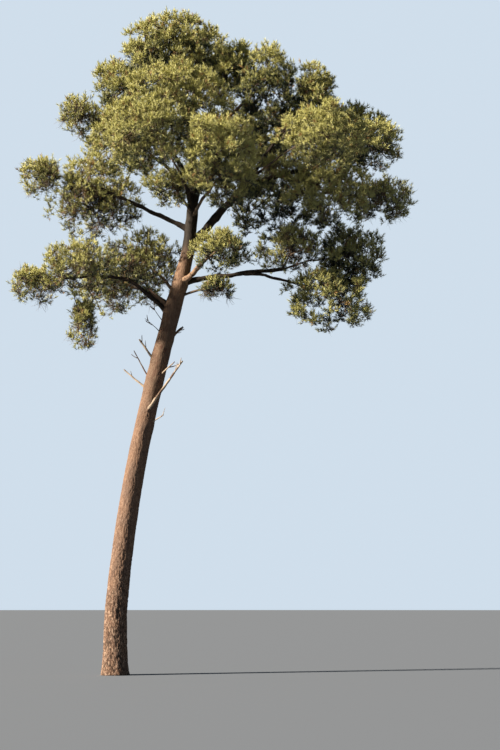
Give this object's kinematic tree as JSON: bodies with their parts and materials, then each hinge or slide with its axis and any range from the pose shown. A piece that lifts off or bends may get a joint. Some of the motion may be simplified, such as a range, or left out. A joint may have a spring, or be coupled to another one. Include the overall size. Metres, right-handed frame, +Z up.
{
  "type": "scots pine tree",
  "caption": "Tall, leaning pine with a bare, gently curved trunk, a fork high up, dead branch stubs and a broad, domed crown of needle tufts.",
  "frame": {"origin": "centre of the flat cut under the trunk, at ground level", "axes": "+Z up; the trunk leans towards +X; -Y faces the viewer of the picture"},
  "size_m": [10.5149, 8.8206, 17.1068],
  "materials": {
    "bark": "rough, deeply fissured bark",
    "bough_bark": "rough bark",
    "dead_wood": "bleached, weathered wood",
    "needles": "green needles, slightly glossy"
  },
  "bodies": {
    "root": {"trunk": "bark", "bough_upper_left": "bough_bark", "bough_lower_left": "bough_bark", "bough_lower_left_end": "bough_bark", "bough_lower_left_rear": "bough_bark", "bough_leader_right": "bough_bark", "bough_right": "bough_bark", "bough_right_under": "bough_bark", "bough_right_stub": "bough_bark", "bough_left_high": "bough_bark", "bough_front_left": "bough_bark", "bough_back": "bough_bark", "bough_back_left": "bough_bark", "bough_right_far": "bough_bark", "bough_right_high": "bough_bark", "bough_front_right": "bough_bark", "bough_back_right": "bough_bark", "dead_branch_long": "dead_wood", "dead_branch_right_mid": "dead_wood", "dead_branch_right_top": "dead_wood", "dead_branch_right_low": "dead_wood", "dead_branch_left_low": "dead_wood", "dead_branch_left_mid": "dead_wood", "dead_branch_left_top": "dead_wood", "needles_top": "needles", "needles_top_left": "needles", "needles_top_right": "needles", "needles_top_back": "needles", "needles_top_front": "needles", "needles_centre_high": "needles", "needles_left_high": "needles", "needles_left_high_tip": "needles", "needles_left_mid": "needles", "needles_front_left": "needles", "needles_back_left": "needles", "needles_lobe_left": "needles", "needles_front": "needles", "needles_front_low": "needles", "needles_back": "needles", "needles_right_high": "needles", "needles_right_high_tip": "needles", "needles_right_front": "needles", "needles_right_back": "needles", "needles_right_far": "needles", "needles_right_far_low": "needles", "needles_right_mid": "needles", "needles_centre_low": "needles", "needles_upper_left_tip": "needles", "needles_upper_left": "needles", "needles_upper_left_rear": "needles", "needles_lower_left_tip": "needles", "needles_lower_left": "needles", "needles_lower_left_hanging": "needles", "needles_lower_left_inner": "needles", "needles_lower_left_rear": "needles", "needles_fork_front": "needles", "needles_right_small": "needles", "needles_right_bough": "needles", "needles_right_low": "needles", "needles_right_hanging": "needles"}
  },
  "joints": []
}
